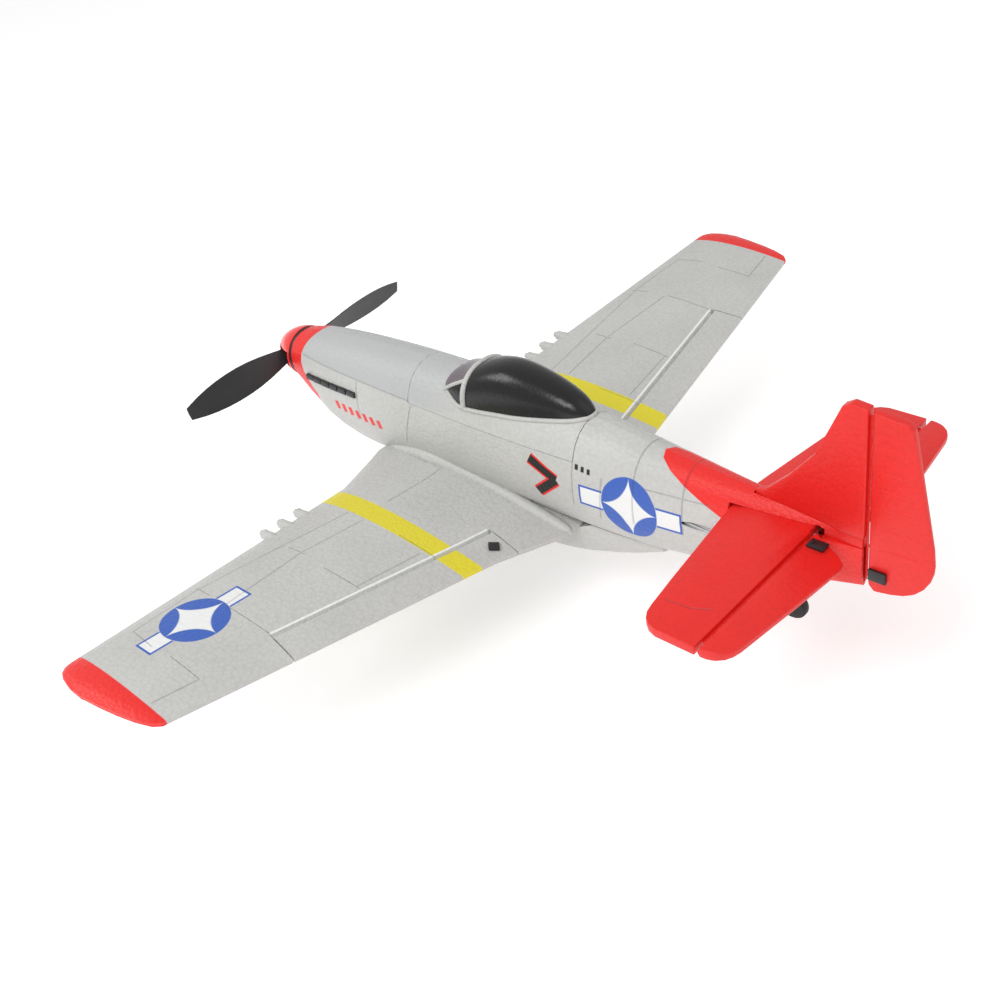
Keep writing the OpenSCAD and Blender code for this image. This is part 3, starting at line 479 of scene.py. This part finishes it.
# a rod of changing thickness along points
def sweep(name, points, body, paint, sides=6):
    bpy.ops.object.select_all(action="DESELECT")
    bpy.ops.curve.primitive_nurbs_path_add()
    rod = bpy.context.object
    rod.name = name
    rod.data.splines.clear()
    spline = rod.data.splines.new("NURBS")
    spline.points.add(len(points) - 1)
    for knot, (x, y, z, radius) in zip(spline.points, points):
        knot.co = (x * mm, y * mm, z * mm, 1)
        knot.radius = radius
    spline.order_u = 3
    spline.use_endpoint_u = True
    spline.resolution_u = 5
    rod.data.bevel_depth = mm
    rod.data.bevel_resolution = sides
    rod.data.use_fill_caps = True
    only(rod)
    bpy.ops.object.convert(target="MESH")
    bpy.ops.object.mode_set(mode="EDIT")
    bpy.ops.mesh.select_all(action="SELECT")
    bpy.ops.mesh.remove_doubles(threshold=0.00001)
    bpy.ops.mesh.normals_make_consistent(inside=False)
    bpy.ops.object.mode_set(mode="OBJECT")
    smooth(rod, 50)
    return settle(rod, body, paint)


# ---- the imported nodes, refined
foamParts = {"fuselage_left": "body", "fuselage_right": "body", "belly_scoop": "body", "hatch_deck": "body",
             "wing_left": "wing", "wing_right": "wing", "aileron_left": "wing", "aileron_right": "wing"}
for node, paint in foamParts.items():
    refine(node, paint, angle=30)
refine("hinge_strips", "body")
tailParts = {"stabiliser": 0.35, "fin": 0.5, "elevator_left": 0.5, "elevator_right": 0.5, "rudder": 0.7}
for node, width in tailParts.items():
    refine(node, "tail", angle=40, soften=width, steps=3)
print("foam parts refined")

smallParts = {
    "propeller": ("prop", 0, 40), "spinner": ("redGloss", 0, 40), "spinner_backplate": ("black", 0.2, 35),
    "prop_nut": ("bright", 0.2, 35), "prop_shaft": ("bright", 0.15, 35), "spur_gear": ("white", 0, 25),
    "pinion_gear": ("brass", 0, 25), "motor_can": ("bright", 0.3, 35), "motor_frame": ("black", 0.2, 35),
    "shaft_bearings": ("bright", 0.1, 35), "battery": ("battery", 1.2, 40), "battery_tray": ("white", 0.2, 35),
    "flight_board": ("board", 0.1, 35), "servo_tray": ("white", 0.2, 35), "hatch_catch": ("black", 0.2, 35),
    "fuselage_catch": ("black", 0.2, 35), "wing_spars": ("carbon", 0.1, 35),
    "aileron_horn_left": ("black", 0.15, 35), "aileron_horn_right": ("black", 0.15, 35),
    "aileron_servo_left": ("servo", 0.4, 35), "aileron_servo_right": ("servo", 0.4, 35),
    "aileron_arm_left": ("white", 0.15, 35), "aileron_arm_right": ("white", 0.15, 35),
    "aileron_rod_left": ("steel", 0, 40), "aileron_rod_right": ("steel", 0, 40),
    "elevator_joiner": ("steel", 0, 40), "elevator_horn": ("black", 0.15, 35),
    "elevator_servo": ("servo", 0.4, 35),
    "elevator_arm": ("white", 0.15, 35), "elevator_rod": ("steel", 0, 40), "rudder_horn": ("black", 0.15, 35),
    "rudder_servo": ("servo", 0.4, 35), "rudder_arm": ("white", 0.15, 35), "rudder_rod": ("steel", 0, 40),
    "gear_sockets": ("black", 0.2, 35), "gear_leg_left": ("steel", 0, 40), "gear_leg_right": ("steel", 0, 40),
    "wheel_left": ("rubber", 0, 40), "wheel_right": ("rubber", 0, 40), "wheel_hub_left": ("white", 0.3, 35),
    "wheel_hub_right": ("white", 0.3, 35), "tail_bracket": ("black", 0.15, 35),
    "tail_wheel": ("rubber", 0.4, 40),
}
for node, (paint, width, angle) in smallParts.items():
    refine(node, paint, angle=angle, soften=width)
print("small parts refined")


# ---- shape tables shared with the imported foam, in millimetres
bodyLines = [
    (-145, 83, 60.5, 2.2, 72), (-125, 84.2, 55.5, 5.2, 71), (-100, 85.8, 50, 8.8, 69),
    (-60, 89.2, 43.8, 13.8, 66.5), (-22, 93, 42.8, 17, 66), (20, 94.4, 44.4, 18.4, 66),
    (60, 94.2, 43.8, 18.3, 66.4), (92, 92.6, 38.7, 17.7, 67.6), (115, 90.6, 39.7, 16.6, 69.4),
    (132, 88.6, 45.8, 14.9, 71.4), (143, 86.6, 56, 13, 73), (148, 85.2, 60.8, 12.2, 73)]
domeLines = [(-28.7, 94.2, 2.4), (-24, 98.2, 6), (-14, 102, 9.2), (0, 105, 11.9), (12, 105.6, 13.2),
             (24, 102.8, 14.2), (33, 98.6, 14.2), (42, 95.6, 11)]
skinPower = 2.25


def slope(rows, i, c):
    before, after = rows[max(i - 1, 0)], rows[min(i + 1, len(rows) - 1)]
    return (after[c] - before[c]) / (after[0] - before[0])


def fair(rows, x, c):
    i = 0
    while i < len(rows) - 2 and x > rows[i + 1][0]:
        i += 1
    p, q = rows[i], rows[i + 1]
    h = q[0] - p[0]
    t = (x - p[0]) / h
    return ((2 * t**3 - 3 * t**2 + 1) * p[c] + (t**3 - 2 * t**2 + t) * h * slope(rows, i, c)
            + (3 * t**2 - 2 * t**3) * q[c] + (t**3 - t**2) * h * slope(rows, i + 1, c))


def skinTop(x, y):
    middle = fair(bodyLines, x, 4)
    part = max(0, 1 - (abs(y) / fair(bodyLines, x, 3)) ** skinPower) ** (1 / skinPower)
    return middle + (fair(bodyLines, x, 1) - middle) * part


def skinSide(x, z):
    middle = fair(bodyLines, x, 4)
    reach = fair(bodyLines, x, 1) - middle if z > middle else middle - fair(bodyLines, x, 2)
    return fair(bodyLines, x, 3) * max(0, 1 - (abs(z - middle) / reach) ** skinPower) ** (1 / skinPower)


def leadEdge(y):
    return 90.9 - 13.5 * (y - 18) / 32 if y < 50 else 77.4 - (y - 50) * 0.1264


def wingPlane(y):
    return 43.4 + max(0, y - 18) * math.tan(math.radians(7.66))


def domePoint(x, turn, lift=0.0):
    width = fair(domeLines, x, 2)
    brim = skinTop(x, width) + 0.6
    y = width * math.copysign(abs(math.cos(turn)) ** 0.85, math.cos(turn))
    return (x, y * (1 + lift / width), brim + (fair(domeLines, x, 1) - brim + lift) * math.sin(turn) ** 0.85)


# ---- canopy: glazing, rim, windscreen arch and posts
refine("canopy", "canopy", angle=50, levels=1)
canopyFrame = {"rim": 0.95, "arch": 1.25, "archAt": 28.8, "post": 0.85, "postFoot": (41.2, 12.2),
               "postHead": 10.4}
rimPoints = []
for i in range(19):
    x = 41.9 - 70.4 * i / 18
    width = fair(domeLines, x, 2)
    rimPoints.append((x, width + 0.1, skinTop(x, width) + 0.35, canopyFrame["rim"]))
rimPoints = ([(42.2, 0, skinTop(42, 0) + 0.2, canopyFrame["rim"]),
              (42.2, 7, skinTop(42, 7) + 0.3, canopyFrame["rim"])] + rimPoints
             + [(-28.9, 0, skinTop(-28.9, 0) + 0.1, canopyFrame["rim"])])
mirrored = [(x, -y, z, w) for x, y, z, w in rimPoints]
sweep("canopyRimLeft", rimPoints, "hatch", "body")
sweep("canopyRimRight", mirrored, "hatch", "body")
arch = [(*domePoint(canopyFrame["archAt"], math.pi * i / 16, -0.1), canopyFrame["arch"]) for i in range(17)]
sweep("windscreenArch", arch, "hatch", "body")
for sign, tag in ((1, "Left"), (-1, "Right")):
    footX, footY = canopyFrame["postFoot"]
    around = (domePoint(canopyFrame["archAt"], t / 100) for t in range(20, 157))
    head = next(p for p in around if p[1] < canopyFrame["postHead"])
    foot = (footX, footY, skinTop(footX, footY) + 0.6)
    line = []
    for k in range(5):
        s = k / 4
        x = head[0] + (foot[0] - head[0]) * s
        y = head[1] + (foot[1] - head[1]) * s
        width = min(1, y / fair(domeLines, min(x, 42), 2)) ** (1 / 0.85)
        z = domePoint(min(x, 42), math.acos(width))[2]
        line.append((x, sign * y, z - 0.1, canopyFrame["post"]))
    sweep("windscreenPost" + tag, line, "hatch", "body")
print("canopy built")

# ---- wing root fairings: a rounded shoulder that runs aft along the joint and ends in a round nose
fairing = [(88, 11.5, 45.2, 1.6), (78, 13.6, 49.2, 2.6), (66, 15.2, 52.4, 3.1), (55, 15.8, 53.6, 3.3),
           (40, 14.9, 52.4, 3.2), (24.6, 14.3, 50.4, 3.1), (10, 14.8, 48.7, 3.0), (0, 15.2, 47.4, 2.9),
           (-10, 15.4, 45.9, 2.8), (-19, 15.4, 44.2, 2.6), (-22.4, 15.4, 43.5, 2.0), (-23.8, 15.4, 43.3, 0.8),
           (-24.1, 15.4, 43.2, 0.1)]
sweep("rootFairingLeft", fairing, "airframe", "body", 8)
sweep("rootFairingRight", [(x, -y, z, w) for x, y, z, w in fairing], "airframe", "body", 8)

# ---- tail details: ribs on the rudder, the hinge skin and the foam behind the stabiliser
ribs = {"heights": (126, 118.5, 110.7, 104, 96.7, 88.4, 79.9), "front": -149.2, "radius": 0.34, "sunk": 0.14,
        "trail": [(62, -156), (66, -164.8), (72.2, -168.8), (79.4, -169.9), (86, -169.2), (113, -163.6),
                  (129.4, -160.4)]}


def rudderTrail(z):
    for (z0, x0), (z1, x1) in zip(ribs["trail"], ribs["trail"][1:]):
        if z <= z1:
            return x0 + (x1 - x0) * (z - z0) / (z1 - z0)
    return ribs["trail"][-1][1]


for number, z in enumerate(ribs["heights"]):
    for sign, tag in ((1, "Left"), (-1, "Right")):
        line = []
        for i in range(5):
            x = ribs["front"] + (rudderTrail(z) + 2.4 - ribs["front"]) * i / 4
            half = min(2.0, 0.8 + (x + 171) * 0.06) - ribs["sunk"]
            line.append((x, sign * half, z - 0.5 * i / 4, ribs["radius"] * (0.5 if i in (0, 4) else 1)))
        sweep("rudderRib" + tag + str(number + 1), line, "rudder_body", "tail", 3)
sweep("rudderHingeSkin", [(-145.75, 0, 63.5, 0.3), (-145.75, 0, 75, 0.42), (-145.75, 0, 88, 0.3)], "airframe",
      "tail", 3)
block = {"middle": (-137.8 * mm, 0, 79.3 * mm), "size": (14.2, 4.6, 3.9), "narrowAft": 0.82, "edge": 0.3}
bpy.ops.object.select_all(action="DESELECT")
bpy.ops.mesh.primitive_cube_add(size=mm, location=block["middle"])
filler = bpy.context.object
filler.name = "tailFiller"
filler.scale = block["size"]
bpy.ops.object.transform_apply(location=True, rotation=True, scale=True)
bpy.ops.object.mode_set(mode="EDIT")
bpy.ops.mesh.select_all(action="DESELECT")
bpy.ops.object.mode_set(mode="OBJECT")
for corner in filler.data.vertices:         # narrower towards the stern post
    corner.select = corner.co.x < block["middle"][0]
bpy.ops.object.mode_set(mode="EDIT")
bpy.ops.transform.resize(value=(1, block["narrowAft"], 1), center_override=block["middle"])
bpy.ops.mesh.select_all(action="SELECT")
bpy.ops.mesh.bevel(offset=block["edge"] * mm, segments=3, affect="EDGES")
bpy.ops.object.mode_set(mode="OBJECT")
smooth(filler, 40)
settle(filler, "airframe", "tail")

# ---- gun fairings on the leading edge
guns = {"places": (74.6, 84.4, 94.2), "length": 6.5, "half": 2.5, "tall": 2.35, "back": 2.4,
        "rise": 0.7, "tailFrom": -1.5, "tail": (1.35, 0.9, 0.8)}
for sign, tag in ((1, "Left"), (-1, "Right")):
    for number, y in enumerate(guns["places"]):
        bpy.ops.object.select_all(action="DESELECT")
        spot = ((leadEdge(y) - guns["back"]) * mm, sign * y * mm, (wingPlane(y) + guns["rise"]) * mm)
        bpy.ops.mesh.primitive_uv_sphere_add(segments=20, ring_count=12, radius=mm, location=spot)
        bulge = bpy.context.object
        bulge.name = "gunFairing" + tag + str(number + 1)
        bulge.scale = (guns["length"], guns["half"], guns["tall"])
        bpy.ops.object.transform_apply(location=False, rotation=False, scale=True)
        bpy.ops.object.mode_set(mode="EDIT")
        bpy.ops.mesh.select_all(action="DESELECT")
        bpy.ops.object.mode_set(mode="OBJECT")
        for corner in bulge.data.vertices:      # the front stays blunt, the back is drawn out flat
            corner.select = corner.co.x < guns["tailFrom"] * mm
        bpy.ops.object.mode_set(mode="EDIT")
        bpy.ops.transform.resize(value=guns["tail"], center_override=spot)
        bpy.ops.object.mode_set(mode="OBJECT")
        smooth(bulge, 60)
        settle(bulge, "airframe", "wing")

# ---- exhausts: a dark slot with six stubs each side
pipes = {"first": 99.6, "step": 6.3, "height": 73.0, "fall": 0.28, "size": (5.2, 2.0, 2.5), "count": 6,
         "slot": (96.5, 38.5), "sunk": 1.1, "proud": 0.2, "slotRadius": 1.7, "endRadius": 0.8, "mouth": 0.45,
         "hollow": 0.9, "edge": 0.5}
slotPoints = []
for i in range(9):
    x = pipes["slot"][0] + pipes["slot"][1] * i / 8
    z = pipes["height"] - (x - pipes["first"]) * pipes["fall"] / pipes["step"]
    slotPoints.append((x, skinSide(x, z) - pipes["sunk"], z,
                       pipes["endRadius"] if i in (0, 8) else pipes["slotRadius"]))
holder = None
for sign, tag in ((1, "Left"), (-1, "Right")):
    bar = sweep("exhaustSlot" + tag, [(x, sign * y, z, w) for x, y, z, w in slotPoints], "airframe",
                "black")
    holder = holder or bar
    for i in range(pipes["count"]):
        x = pipes["first"] + i * pipes["step"]
        z = pipes["height"] - i * pipes["fall"]
        bpy.ops.object.select_all(action="DESELECT")
        reach = sign * (skinSide(x, z) + pipes["proud"])
        bpy.ops.mesh.primitive_cube_add(size=mm, location=(x * mm, reach * mm, z * mm))
        stub = bpy.context.object
        stub.name = "exhaustStub" + tag + str(i + 1)
        stub.scale = pipes["size"]
        bpy.ops.object.transform_apply(location=False, rotation=False, scale=True)
        bpy.ops.object.mode_set(mode="EDIT")
        bpy.ops.mesh.select_mode(type="FACE")
        bpy.ops.mesh.select_all(action="DESELECT")
        bpy.ops.object.mode_set(mode="OBJECT")
        for face in stub.data.polygons:         # the open end looks aft
            face.select = face.normal.x < -0.9
        bpy.ops.object.mode_set(mode="EDIT")
        bpy.ops.mesh.inset(thickness=pipes["mouth"] * mm)
        bpy.ops.mesh.extrude_region_move(TRANSFORM_OT_translate={"value": (pipes["hollow"] * mm, 0, 0)})
        bpy.ops.object.mode_set(mode="OBJECT")
        edge = stub.modifiers.new("roundEdges", "BEVEL")
        edge.width = pipes["edge"] * mm
        edge.segments = 3
        edge.limit_method = "ANGLE"
        edge.angle_limit = math.radians(40)
        applyAll(stub)
        smooth(stub, 50)
        settle(stub, "airframe", "black")
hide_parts("exhaust_stacks")
print("fairings and exhausts built")

# ---- floor
bpy.ops.object.select_all(action="DESELECT")
bpy.ops.mesh.primitive_plane_add(size=40, location=(0, 0, -0.0002))
floor = bpy.context.object
floor.name = "floor"
pale = Paint("paleFloor", Roughness=0.9, SpecularIORLevel=0.1)
pale.set("BaseColor", pale.mix(pale.noise(3), (0.84, 0.84, 0.84), (0.87, 0.87, 0.87)))
pale.set("EmissionColor", (1.0, 1.0, 1.0))
pale.set("EmissionStrength", 0.36)
floor.data.materials.append(pale.material)
